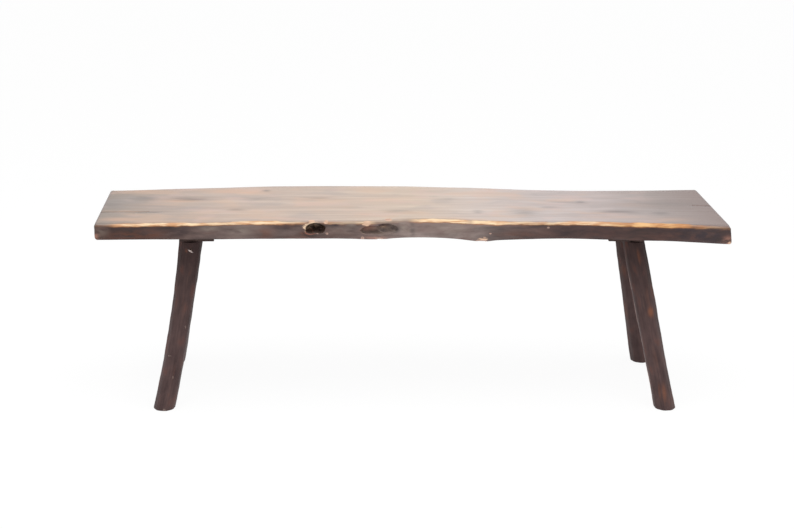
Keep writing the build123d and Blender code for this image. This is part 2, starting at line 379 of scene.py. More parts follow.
def rough(piece, size, depth, stretch=(1, 1, 1), points="", start=0.0, level=1.0, way="NORMAL"):
    """Sink a piece's surface by a soft random pattern. Size and depth are in metres, stretch draws
    the pattern out along an axis, start picks another part of it, and at a level under 1 the
    pattern's peaks rise over the surface. The way is along the normals or an axis."""
    pattern = bpy.data.textures.new("rough", "CLOUDS")
    pattern.noise_scale = 1.0
    guide = bpy.data.objects.new("guide", None)
    bpy.context.scene.collection.objects.link(guide)
    guide.scale = [size * s for s in stretch]
    guide.location = (start, start, start)
    bpy.context.view_layer.update()
    modifier = piece.modifiers.new("rough", "DISPLACE")
    modifier.texture = pattern
    modifier.texture_coords = "OBJECT"
    modifier.texture_coords_object = guide
    modifier.mid_level = level
    modifier.strength = depth
    modifier.direction = way
    modifier.vertex_group = points
    apply_all(piece)
    bpy.data.objects.remove(guide)
    bpy.data.textures.remove(pattern)


def combine(piece, others, operation):
    """Cut other shapes out of a piece, or join them to it, and remove them. Flat flaps and loose
    crumbs that the cutting leaves are cleared away."""
    for other in others:
        modifier = piece.modifiers.new("combine", "BOOLEAN")
        modifier.operation = operation
        modifier.solver = "EXACT"
        modifier.object = other
        apply_all(piece)
        bpy.data.objects.remove(other)
    highest = max(v.co.z for v in piece.data.vertices)
    edit(piece)
    split_quads()
    select(piece, "faces", lambda f: any(e.is_boundary for e in f.edges))
    bpy.ops.mesh.delete(type="FACE")
    select(piece, "verts", lambda v: v.co.z > highest - MM / 100)
    bpy.ops.mesh.select_linked()
    bpy.ops.mesh.select_all(action="INVERT")
    bpy.ops.mesh.delete(type="VERT")
    bpy.ops.object.mode_set(mode="OBJECT")


def copy_of(node):
    """A merged copy of a CAD node, to cut its seat with."""
    copy = bpy.data.objects.new(node + "_seat", nodes[node].data.copy())
    bpy.context.scene.collection.objects.link(copy)
    edit(copy)
    bpy.ops.mesh.select_all(action="SELECT")
    bpy.ops.mesh.remove_doubles(threshold=1e-6)
    bpy.ops.object.mode_set(mode="OBJECT")
    return copy


def record_values(piece, name, values):
    """Keep one value for each point of a piece, for its material to read."""
    attribute = piece.data.attributes.new(name, "FLOAT", "POINT")
    attribute.data.foreach_set("value", values)


# Plank

def read_plank_lines():
    """Where the plank's four long edges would be if they were sharp, station by station: the place
    along, then the front underside, front top, back underside and back top."""
    tree = BVHTree.FromObject(nodes["seat_plank"], bpy.context.evaluated_depsgraph_get())
    upper = PLANK_HIGH.z - READ_BELOW_TOP
    lower = PLANK_LOW.z + READ_ABOVE_UNDERSIDE
    rows = []
    for count in range(STATION_CUTS + 2):
        along = PLANK_LOW.x + PLANK_LENGTH * count / (STATION_CUTS + 1)
        inside = min(max(along, PLANK_LOW.x + READ_FROM_END), PLANK_HIGH.x - READ_FROM_END)
        row = [along]
        for side in (-1, 1):
            starts = [Vector((inside, side * 2 * PLANK_HIGH.y, level)) for level in (lower, upper)]
            low_hit, high_hit = (tree.ray_cast(start, Vector((0, -side, 0)))[0].y for start in starts)
            slope = (high_hit - low_hit) / (upper - lower)
            row += [low_hit - slope * READ_ABOVE_UNDERSIDE, high_hit + slope * READ_BELOW_TOP]
        rows.append(row)
    return rows


plank_lines = read_plank_lines()


def plank_edges(along, level):
    """Where the front and back edges are across, at a place along and a level, before their arrises
    are rounded."""
    front_low, front_top, back_low, back_top = between(plank_lines, along)
    share = (level - PLANK_LOW.z) / PLANK_THICKNESS
    return front_low + share * (front_top - front_low), back_low + share * (back_top - back_low)


hollow_balls = {}
for name, bites in HOLLOWS.items():
    middles = [(along * MM, PLANK_LOW.z + level * MM) for along, level, _ in bites]
    places = [Vector((x, plank_edges(x, z)[0], z)) for x, z in middles]
    hollow_balls[name] = [(place, Vector(bite[2]) * MM) for place, bite in zip(places, bites)]


def ball_distance(place, balls):
    """How far a place is from the nearest of some stretched balls, as a share of its reach."""
    ways = [[(place[i] - middle[i]) / reach[i] for i in range(3)] for middle, reach in balls]
    return min([math.sqrt(sum(step ** 2 for step in way)) for way in ways], default=math.inf)


def rough_ball(name, place, reach, fineness=5):
    """A rugged hollow, as a shape to cut with."""
    pick(None)
    bpy.ops.mesh.primitive_ico_sphere_add(subdivisions=fineness, radius=1, location=place, scale=reach)
    ball = named(name)
    tip_radius = min(reach) ** 2 / max(reach)
    rough(ball, max(reach) * 0.5, tip_radius * 0.75, start=place.x)
    rough(ball, max(reach) * 0.16, tip_radius * 0.25, start=place.x)
    return ball


def nick_balls(piece, rows):
    """Where small scoops sit on the front of a piece, and how far they reach."""
    tree = BVHTree.FromObject(piece, bpy.context.evaluated_depsgraph_get())
    balls = []
    for along, level, reach in rows:
        hit = tree.ray_cast(Vector((along * MM, -1, level * MM)), Vector((0, 1, 0)))[0]
        balls.append((hit, Vector(reach) * MM))
    return balls


def patch_value(rows, across, up):
    """How strong some soft patches are at a place in their own two directions."""
    strengths = []
    for middle, level, reach, rise, strength in rows:
        off, over = (across - middle * MM) / (reach * MM), (up - level * MM) / (rise * MM)
        strengths.append(strength * math.exp(-off ** 2 - over ** 2))
    return max(strengths)


def crack(end, across, length, width, wander):
    """A drying crack, as a thin bent blade to cut with, widest past the plank's end."""
    pick(None)
    reach = length + CRACK_PAST
    middle = end * (PLANK_HIGH.x + CRACK_PAST - reach / 2)
    place = Vector((middle, across, PLANK_HIGH.z))
    bpy.ops.mesh.primitive_cube_add(size=1, location=place, scale=(reach, width, 2 * CRACK_DEPTH))
    blade = named("crack")
    edit(blade)
    cut_edges(blade, CRACK_CUTS, lambda e: span(e).x > length / 2)
    tip = middle - end * reach / 2
    turns = sorted({round(v.co.x, 6) for v in bmesh.from_edit_mesh(blade.data).verts})
    for x in turns:
        share = abs(x - tip) / reach
        select(blade, "verts", lambda v: abs(v.co.x - x) < MM / 10)
        depth = CRACK_TIP_DEPTH + (1 - CRACK_TIP_DEPTH) * share
        size = (1, max(share, CRACK_TIP_WIDTH), depth)
        bpy.ops.transform.resize(value=size, center_override=(x, across, PLANK_HIGH.z))
        bend = wander * (1 - share) + CRACK_WAVE * math.sin(x / CRACK_TURN)
        bpy.ops.transform.translate(value=(0, bend, 0))
    bpy.ops.object.mode_set(mode="OBJECT")
    return blade


def arris_of(edge):
    """The name of the arris that an edge of the plank's first box belongs to, if any."""
    on_end = all(abs(abs(v.co.x) - PLANK_HIGH.x) < MM for v in edge.verts)
    tops = sum(v.co.z > PLANK_HIGH.z - MM for v in edge.verts)
    fronts = sum(v.co.y < 0 for v in edge.verts)
    if tops == 2 and fronts != 1:
        return "front" if fronts else "back"
    if on_end and fronts == 1:
        return {2: "ends", 0: "end_under"}.get(tops)
    if on_end and tops == 1:
        return "front_corners" if fronts else "back_corners"


def is_near_hollow(face):
    """Close enough to a knot hollow to be cut more finely."""
    middle = face.calc_center_median()
    return min((middle - balls[0][0]).length for balls in hollow_balls.values()) < NEAR_HOLLOW


def is_under_rim(edge):
    """On a sharp edge round the plank's underside."""
    return max(v.co.z for v in edge.verts) < PLANK_LOW.z + MM / 10 and edge.calc_face_angle() > 0.5


def on_lip(co, normal):
    """How much a place belongs to the lip of the deep hollow, which is highest on its left."""
    if co.z > PLANK_HIGH.z - MM:
        return 0
    balls = hollow_balls["pit_deep"]
    left = max(0, min(1, (balls[0][0].x - co.x) / LIP_LEFT))
    rise = LIP_ON_RIGHT + (1 - LIP_ON_RIGHT) * left
    return rise * max(0, 1 - abs(ball_distance(co, balls) - LIP_RING) / LIP_WIDTH)


def on_edge(co, inward, outward_normal):
    """How much a place belongs to a natural edge. Under the plank, only its border does."""
    if co.z < PLANK_LOW.z + 3 * MM:
        return inward < 6 * MM
    return min(1, outward_normal / 0.7)


def on_front(co, normal):
    """How much a place belongs to the natural front edge."""
    return on_edge(co, co.y - plank_edges(co.x, co.z)[0], -normal.y)


def on_back(co, normal):
    """How much a place belongs to the natural back edge."""
    return on_edge(co, plank_edges(co.x, co.z)[1] - co.y, normal.y)


def on_belly(co, normal):
    """How much a place belongs to the lower front edge, which stands further forward."""
    return min(1, (PLANK_HIGH.z - co.z) / PLANK_THICKNESS) * on_front(co, normal)


def bench_seat():
    """The plank: a box shaped station by station, with worn arrises, natural edges, knot hollows,
    drying cracks and the seats of the tenons and nails."""
    pick(None)
    size = PLANK_HIGH - PLANK_LOW
    bpy.ops.mesh.primitive_cube_add(size=1, location=(PLANK_LOW + PLANK_HIGH) / 2, scale=size)
    plank = named("bench_seat")
    edit(plank)
    cut_edges(plank, STATION_CUTS, lambda e: span(e).x > size.x / 2)
    corners = [(y, z) for y in (PLANK_LOW.y, PLANK_HIGH.y) for z in (PLANK_LOW.z, PLANK_HIGH.z)]
    starts = {corner: {} for corner in corners}
    for vert in bmesh.from_edit_mesh(plank.data).verts:
        corner = min(corners, key=lambda c: abs(c[0] - vert.co.y) + abs(c[1] - vert.co.z))
        starts[corner][round(vert.co.x, 4)] = vert.index
    for row in plank_lines:
        for corner, target in zip(corners, row[1:]):
            index = starts[corner][round(row[0], 4)]
            select(plank, "verts", lambda v: v.index == index)
            bpy.ops.transform.translate(value=(0, target - corner[0], 0))
    for name, share in ARRIS_SHARES.items():
        select(plank, "edges", lambda e: arris_of(e) == name)
        bpy.ops.transform.edge_bevelweight(value=share)
    bpy.ops.object.mode_set(mode="OBJECT")
    bevel = plank.modifiers.new("arrises", "BEVEL")
    bevel.limit_method = "WEIGHT"
    bevel.width = PLANK_ARRIS
    bevel.segments = 4
    apply_all(plank)

    edit(plank)
    cut_edges(plank, LENGTH_CUTS, lambda e: span(e).x > 8 * MM and span(e).x > 0.9 * e.calc_length())
    cut_edges(plank, ACROSS_CUTS, lambda e: span(e).y > 100 * MM)
    cut_edges(plank, DOWN_CUTS, lambda e: span(e).z > 15 * MM)
    select(plank, "faces", is_near_hollow)
    bpy.ops.mesh.subdivide(number_cuts=1)
    split_quads()
    bpy.ops.object.mode_set(mode="OBJECT")

    group(plank, "lip", on_lip)
    push(plank, "lip", LIP_RISE)
    group(plank, "front", on_front)
    group(plank, "back", on_back)
    group(plank, "belly", on_belly)
    push(plank, "belly", -FRONT_BELLY, "Y")
    group(plank, "arris", lambda co, n: 0.2 < n.z < 0.95 and n.y < -0.1)
    group(plank, "top", lambda co, n: n.z > 0.9)
    group(plank, "under", lambda co, n: n.z < -0.9)
    group(plank, "ends", lambda co, n: abs(n.x) > 0.8)
    for name, inwards in (("front", -1), ("back", 1)):
        for length, depth, stretch, start in EDGE_ROUGHNESS:
            level = EDGE_LEVELS[name]
            rough(plank, length * MM, inwards * depth * MM, stretch, name, start, level, "Y")
    edit(plank)
    select(plank, "edges", is_under_rim)
    bpy.ops.mesh.bevel(offset=UNDER_ARRIS, segments=2)
    split_quads()
    bpy.ops.object.mode_set(mode="OBJECT")
    for name, length, depth, stretch, start in PLANK_ROUGHNESS:
        rough(plank, length * MM, depth * MM, stretch, name, start)

    cutters = []
    for name, balls in hollow_balls.items():
        cutters += [rough_ball(name, middle, reach * HOLLOW_ROOM) for middle, reach in balls]
    nicks = nick_balls(plank, PLANK_NICKS)
    cutters += [rough_ball("nick", middle, reach, 3) for middle, reach in nicks]
    cutters += [crack(*values) for values in CRACKS]
    cutters += [tenon(name, MORTISE_ROOM, MORTISE_END_ROOM) for name in LEG_TURN]
    cutters += [copy_of("cleat_nails_left"), copy_of("cleat_nails_right")]
    combine(plank, cutters, "DIFFERENCE")
    plank.vertex_groups.clear()
    plank_values(plank, nicks)
    return plank


def plank_values(plank, nicks):
    """Work out what the plank's material reads at each point of it."""
    half = PLANK_HIGH.x
    values = {name: [] for name in PLANK_VALUES}
    for vertex in plank.data.vertices:
        x, y, z = vertex.co
        front, back = plank_edges(x, z)
        down, up = PLANK_HIGH.z - z, z - PLANK_LOW.z
        inward = {"front": max(0, y - front), "back": max(0, back - y), "end": half - abs(x)}
        nearest = min(inward, key=inward.get)
        values["side"].append(down - (min(inward.values()) if down < up else 0))
        worn, pale, bright, wide = between(FRONT_WEAR, x / half)
        values["bare"].append({"front": worn, "back": BACK_WEAR, "end": END_WEAR}[nearest])
        values["bright"].append(bright if nearest == "front" else 0.0)
        values["wide"].append(wide * MM if nearest == "front" else 0.0)
        values["pale"].append(pale if y < 0 else BACK_PALE)
        values["end"].append(min(1, max(0, 1 - inward["end"] / (6 * MM))))
        values["rim"].append(sorted((down, up, *inward.values()))[1])
        for name, rows in TOP_PATCHES.items():
            values[name].append(patch_value(rows, x, y))
        for name, rows in FRONT_PATCHES.items():
            values[name].append(patch_value(rows, x, z) if y < front + 12 * MM else 0.0)
        for name, balls in hollow_balls.items():
            values[name].append(min(4.0, ball_distance(vertex.co, balls)))
        values["nick"].append(min(3.0, ball_distance(vertex.co, nicks)))
    for name, row in values.items():
        record_values(plank, name, row)


# Cleats

def bench_cleat(node):
    """A sawn cleat, skewed as it was nailed on, with its tenon holes and nail holes."""
    low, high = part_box(node)
    pick(None)
    middle, turn = (low + high) / 2, (0, 0, CLEAT_TURN[node])
    bpy.ops.mesh.primitive_cube_add(size=1, location=middle, rotation=turn, scale=CLEAT_SIZE)
    cleat = named("bench_" + node)
    edit(cleat)
    select(cleat, "edges", lambda e: min(v.co.z for v in e.verts) < low.z + MM)
    bpy.ops.mesh.bevel(offset=CLEAT_ARRIS, segments=2)
    along, across, down = CLEAT_CUTS
    cut_edges(cleat, along, lambda e: e.calc_length() > CLEAT_SIZE.y / 2)
    cut_edges(cleat, across, lambda e: e.calc_length() > CLEAT_SIZE.x / 2)
    cut_edges(cleat, down, lambda e: span(e).z > CLEAT_SIZE.z / 2)
    bpy.ops.object.mode_set(mode="OBJECT")
    group(cleat, "open", lambda co, n: n.z < 0.5)
    rough(cleat, 30 * MM, 0.8 * MM, (1, 3, 1), "open", low.x)
    rough(cleat, 5 * MM, 0.5 * MM, (4, 0.6, 1), "open", low.x)
    side = node.split("_")[1]
    legs = [name for name in LEG_TURN if name.endswith(side)]
    cutters = [tenon(name, MORTISE_ROOM, MORTISE_END_ROOM) for name in legs]
    cutters.append(copy_of("cleat_nails_" + side))
    if side == "left":
        cutters.append(copy_of("leg_nail_front_left"))
    combine(cleat, cutters, "DIFFERENCE")
    return cleat


# Legs

def cut_through(node, level):
    """The centre and half width of a CAD node where a level plane cuts it."""
    mesh = nodes[node].data
    points = []
    for edge in mesh.edges:
        a, b = (mesh.vertices[i].co for i in edge.vertices)
        if (a.z - level) * (b.z - level) < 0:
            points.append(a.lerp(b, (level - a.z) / (b.z - a.z)))
    low = Vector([min(p[i] for p in points) for i in range(3)])
    high = Vector([max(p[i] for p in points) for i in range(3)])
    return (low + high) / 2, (high.x - low.x + high.y - low.y) / 4


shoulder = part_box("cleat_left")[0].z
nail_places = [v.co.copy() for v in nodes["leg_nail_front_left"].data.vertices]
nail_tip = max(nail_places, key=lambda co: co.z)
nail_length = max((co - nail_tip).length for co in nail_places)
head_places = [co for co in nail_places if (co - nail_tip).length > nail_length - 2 * MM]
nail_head = sum(head_places, Vector()) / len(head_places)
leg_rings = {}
tenon_ends = {}
for name in LEG_TURN:
    off_corner = (LEG_TURN[name] + FACET_ANGLE / 2) % FACET_ANGLE - FACET_ANGLE / 2
    straight_share = 1 - LEG_ROUND_SHARE / math.cos(FACET_ANGLE / 2)
    share = straight_share * math.cos(off_corner) + LEG_ROUND_SHARE
    height = shoulder - 2 * FOOT_ARRIS
    leg_rings[name] = []
    for count in range(LEG_LEVELS + 1):
        centre, half = cut_through(name, FOOT_ARRIS + height * count / LEG_LEVELS)
        swell = LEG_SWELLS[0] + (LEG_SWELLS[1] - LEG_SWELLS[0]) * count / LEG_LEVELS if count else 0
        leg_rings[name].append((centre, half / share + swell))
    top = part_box(name)[1].z
    lower = cut_through(name, shoulder + TENON_READ_LOW)[0]
    upper = cut_through(name, top - TENON_READ_HIGH)[0]
    way = (upper - lower).normalized()
    root = lower - way * (TENON_ROOT + TENON_READ_LOW) / way.z
    tenon_ends[name] = (root, lower + way * (top - TENON_END_DROP - lower.z) / way.z)


def tenon(name, room, end_room):
    """A leg's round tenon, or with room round it, the shape to cut its mortise with."""
    low, high = tenon_ends[name]
    way = (high - low).normalized()
    length = (high - low).length + end_room
    pick(None)
    bpy.ops.mesh.primitive_cylinder_add(
        vertices=TENON_SIDES, radius=TENON_RADIUS + room, depth=length, location=low + way * length / 2,
        rotation=way.to_track_quat("Z", "Y").to_euler(),
    )
    return named("tenon")


def is_across_facet(edge):
    """On a level line across a leg's facet, above its foot."""
    return span(edge).z < 3 * MM and edge.calc_length() > 7 * MM and edge.verts[0].co.z > 2 * MM


def bench_leg(node):
    """A hewn leg: an eight-sided pole drawn up its centre line level by level, with soft arrises, a
    tenon at its top and the kerf of its wedge."""
    first, second, *_, before, last = leg_rings[node]
    foot = first[0] - (second[0] - first[0]) * first[0].z / (second[0].z - first[0].z)
    top = last[0] + (last[0] - before[0]) * (shoulder - last[0].z) / (last[0].z - before[0].z)
    rings = [*leg_rings[node], (top, last[1])]
    here, here_radius = foot, first[1]
    pick(None)
    bpy.ops.mesh.primitive_circle_add(
        vertices=LEG_FACETS, radius=here_radius, fill_type="NGON", location=here,
        rotation=(0, 0, LEG_TURN[node]),
    )
    leg = named("bench_" + node)
    edit(leg)
    bpy.ops.mesh.select_all(action="SELECT")
    for centre, radius in rings:
        bpy.ops.mesh.extrude_region_move(TRANSFORM_OT_translate={"value": centre - here})
        share = radius / here_radius
        bpy.ops.transform.resize(value=(share, share, 1), center_override=centre)
        here, here_radius = centre, radius
    select(leg, "edges", lambda e: span(e).z > MM)
    bpy.ops.mesh.bevel(offset=LEG_ARRIS, segments=3)
    select(leg, "edges", lambda e: max(v.co.z for v in e.verts) < MM / 2)
    bpy.ops.mesh.bevel(offset=FOOT_ARRIS, segments=2)
    cut_edges(leg, LEG_CUTS, lambda e: span(e).z > 5 * MM)
    cut_edges(leg, LEG_CUTS, is_across_facet)
    bpy.ops.mesh.select_all(action="SELECT")
    bpy.ops.mesh.normals_make_consistent(inside=False)
    bpy.ops.object.mode_set(mode="OBJECT")

    def is_open(co, normal):
        """Free of the foot and the shoulder, and of the nail's head."""
        if abs(normal.z) > 0.9 or not 2 * MM < co.z < shoulder - 2 * MM:
            return 0
        return min(1, max(0, (co - nail_head).length / (12 * MM) - 0.7))

    group(leg, "open", is_open)
    rough(leg, 26 * MM, 2.4 * MM, (1, 1, 3), "open", foot.x, LEG_LEVEL)
    rough(leg, 8 * MM, 1.0 * MM, (1, 1, 4), "open", foot.y, LEG_LEVEL)
    combine(leg, [tenon(node, 0, 0)], "UNION")
    nicks = nick_balls(leg, LEG_NICKS.get(node, []))
    cutters = [rough_ball("nick", middle, reach, 3) for middle, reach in nicks]
    cutters.append(copy_of(node.replace("leg", "wedge")))
    if node == "leg_front_left":
        cutters.append(copy_of("leg_nail_front_left"))
    combine(leg, cutters, "DIFFERENCE")
    leg.vertex_groups.clear()
    leg_values(leg, node, nicks)
    return leg


def leg_values(leg, node, nicks):
    """Work out what a leg's material reads: its place with the leg's lean and bow taken out, how
    near it is to the arris between two facets, and how thin the stain is."""
    rows = [(centre.z, centre.x, centre.y, radius) for centre, radius in leg_rings[node]]
    highlight_turn = HIGHLIT_ARRIS.get(node, math.inf) * FACET_ANGLE
    straight = []
    values = {name: [] for name in LEG_VALUES}
    for vertex in leg.data.vertices:
        x, y, radius = between(rows, vertex.co.z)
        out = Vector((vertex.co.x - x, vertex.co.y - y))
        straight += [out.x, out.y, vertex.co.z]
        angle = (math.atan2(out.y, out.x) - LEG_TURN[node]) % (2 * math.pi)
        from_last = angle % FACET_ANGLE
        values["arris"].append(min(from_last, FACET_ANGLE - from_last) * radius)
        # How far each point is from the arris that carries the painted highlight
        values["rubbed"].append(min(1.0, abs(angle - highlight_turn) * radius))
        strengths = []
        for along, level, reach, rise, lean, strength in LEG_PATCHES[node]:
            up = vertex.co.z / MM - level
            off = vertex.co.x / MM - along + lean * up
            strengths.append(strength * math.exp(-(off / reach) ** 2 - (up / rise) ** 2))
        values["warm"].append(max(strengths) if out.y < 0 else 0.0)
        values["nick"].append(min(3.0, ball_distance(vertex.co, nicks)))
    attribute = leg.data.attributes.new("straight", "FLOAT_VECTOR", "POINT")
    attribute.data.foreach_set("vector", straight)
    for name, row in values.items():
        record_values(leg, name, row)


# Materials

SOFT = {"interpolation_type": "SMOOTHSTEP"}
COLOURS = {"data_type": "RGBA", "clamp_factor": True}
SUM = {"operation": "ADD"}
PRODUCT = {"operation": "MULTIPLY"}
PRODUCT_SUM = {"operation": "MULTIPLY_ADD"}


def add_node(tree, kind, links, **settings):
    """Add a shader node with its settings. A link is a value, a node or one of its outputs, under
    the input's name or number."""
    node = tree.nodes.new("ShaderNode" + kind)
    for name, value in settings.items():
        setattr(node, name, value)
    fill(tree, node, links)
    return node


def fill(tree, node, links):
    """Set or link a node's inputs."""
    for name, value in links.items():
        sockets = [s for s in node.inputs if s.enabled and s.name == name]
        socket = node.inputs[name] if isinstance(name, int) else sockets[0]
        if isinstance(value, bpy.types.Node):
            value = next(s for s in value.outputs if s.enabled)
        if isinstance(value, bpy.types.NodeSocket):
            tree.links.new(value, socket)
        else:
            socket.default_value = value


def material(name, constants):
    """A material with its main shader's constants set, its node tree, and a way to add nodes to it.
    Colour, roughness and normal come later."""
    made = bpy.data.materials.new(name)
    made.use_nodes = True
    tree = made.node_tree
    fill(tree, tree.nodes["Principled BSDF"], constants)
    return made, partial(add_node, tree)


def surface(made, links):
    """Link what a material's nodes work out to its main shader."""
    fill(made.node_tree, made.node_tree.nodes["Principled BSDF"], links)
    return made


def per_mm(*size):
    """The Mapping scale that makes a pattern as long as this along X, Y and Z, in mm."""
    return [1 / (side * MM) for side in size]


def gather(add, place, values, patterns, fades):
    """What a material reads at each point: the values kept with it, its place along and up, and
    noise patterns, some with more contrast. With it, how far each mark has faded in there."""
    apart = add("SeparateXYZ", {"Vector": place}).outputs
    read = {name: add("Attribute", {}, attribute_name=name).outputs["Fac"] for name in values}
    read.update(along=apart["X"], up=apart["Z"])
    for name, (size, detail, *contrast) in patterns.items():
        scaled = add("Mapping", {"Vector": place, "Scale": per_mm(*size)})
        noise = add("TexNoise", {"Vector": scaled, "Scale": 1.0, "Detail": detail})
        read[name] = noise.outputs["Fac"]
        for low, high in contrast:
            read[name] = add("MapRange", {"Value": noise, "From Min": low, "From Max": high})
    fade = {}
    for name, (source, start, full, most, *ragged) in fades.items():
        value = read[source]
        for pattern, amount in ragged:
            value = add("Math", {0: read[pattern], 1: amount, 2: value}, **PRODUCT_SUM)
        links = {"Value": value, "From Min": start, "From Max": full, "To Max": most}
        fade[name] = add("MapRange", links, **SOFT)
    return read, fade


def lay(add, wood, layers):
    """Lay colours over a wood one after another, each as far as its factor says."""
    for factor, over in layers:
        wood = add("Mix", {"Factor": factor, "A": wood, "B": over}, **COLOURS)
    return wood


# How the seat's colour changes along it: the waxed wood's tone with a painted sheen, palest towards the
# middle and darker towards the ends
SEAT_TONES_AND_SHEEN = [
    (-0.755, "877A70"), (-0.62, "A8968A"), (-0.45, "BEAA9C"), (-0.26, "BFAC9E"), (0.02, "CAB7A5"),
    (0.16, "C7B9B1"), (0.33, "BCB0AD"), (0.49, "B2A4A1"), (0.62, "948783"), (0.755, "806D68"),
]

# Growth rings 11 mm apart about a pith below the plank, and how far slow waves and knots bend them
RING_GAP = 11 * MM
PITH = (0, -0.02, -0.345)
WAVE_BEND = 55 * MM
KNOT_BEND = 20 * MM

# Noise patterns in the plank: how long along X, Y and Z in mm, their detail, and where their
# contrast is raised, the values that become 0 and 1. Fibres are drawn coarser than real ones, so
# that they show. Streaks are hand-rubbed stain.
PLANK_PATTERNS = {
    "wave": ((770, 200, 200), 3.0), "fibres": ((70, 2.6, 2.6), 4.0), "streaks": ((220, 28, 28), 4.0),
    "blotches": ((120, 70, 70), 3.0), "pinks": ((90, 50, 50), 2.0), "reds": ((110, 33, 33), 2.0),
    "mottle": ((70, 16, 16), 5.0, (0.36, 0.66)), "chips": ((26, 9, 9), 3.0),
    "flecks": ((15, 4.5, 4.5), 2.0), "worn": ((60, 9, 9), 3.0),
}
PLANK_VALUES = (
    "side", "bare", "pale", "bright", "wide", "end", "rim",
    *TOP_PATCHES, *FRONT_PATCHES, *HOLLOWS, "nick",
)

# How the marks on the plank fade in: the value or pattern that they follow, where it starts and
# ends the fade, and their full strength. A pattern times a number, added first, makes some ragged.
PLANK_FADES = {
    "warm": ("blotches", 0.50, 0.68, 0.35),
    "pink": ("pinks", 0.52, 0.66, 0.26),
    "cool": ("blotches", 0.47, 0.32, 0.30),
    "even": ("along", 660 * MM, 540 * MM, 1),
    "patchy": ("streaks", 0.25, 0.62, 1.15),
    # Darker towards the plank's rim
    "rim_darkening": ("rim", 9 * MM, 1 * MM, 0.6),
    "red": ("reds", 0.52, 0.66, 0.3),
    "broken": ("chips", 0.30, 0.60, 1.1),
    "dip": ("pit_shallow", 1.75, 1.35, 0.9, ("chips", 1)),
    "face": ("side", 1.9 * MM, 4.1 * MM, 1, ("mottle", 3 * MM)),
    "right": ("along", 430 * MM, 520 * MM, 1),
    "amber": ("side", 12.5 * MM, 10.5 * MM, 1, ("chips", 7 * MM)),
    "band": ("side", 10.5 * MM, 8.5 * MM, 1, ("chips", 7 * MM)),
    "shine": ("bright", 0.40, 0.62, 1, ("worn", 1)),
    "fresh": ("tan", 0.95, 1.25, 1, ("flecks", 1.2)),
    "nicked": ("nick", 1.5, 1.3, 0.8, ("flecks", 0.6)),
    "lip": ("pit_deep", 1.71, 1.55, 1, ("flecks", 0.8)),
    "left": ("along", -222 * MM, -248 * MM, 1),
    "high": ("up", 435 * MM, 442 * MM, 1),
    "hole": ("pit_deep", 1.12, 0.98, 1),
    # Painted shade, near black deepest in the hollow
    "depth": ("pit_deep", 1.0, 0.8, 1),
}


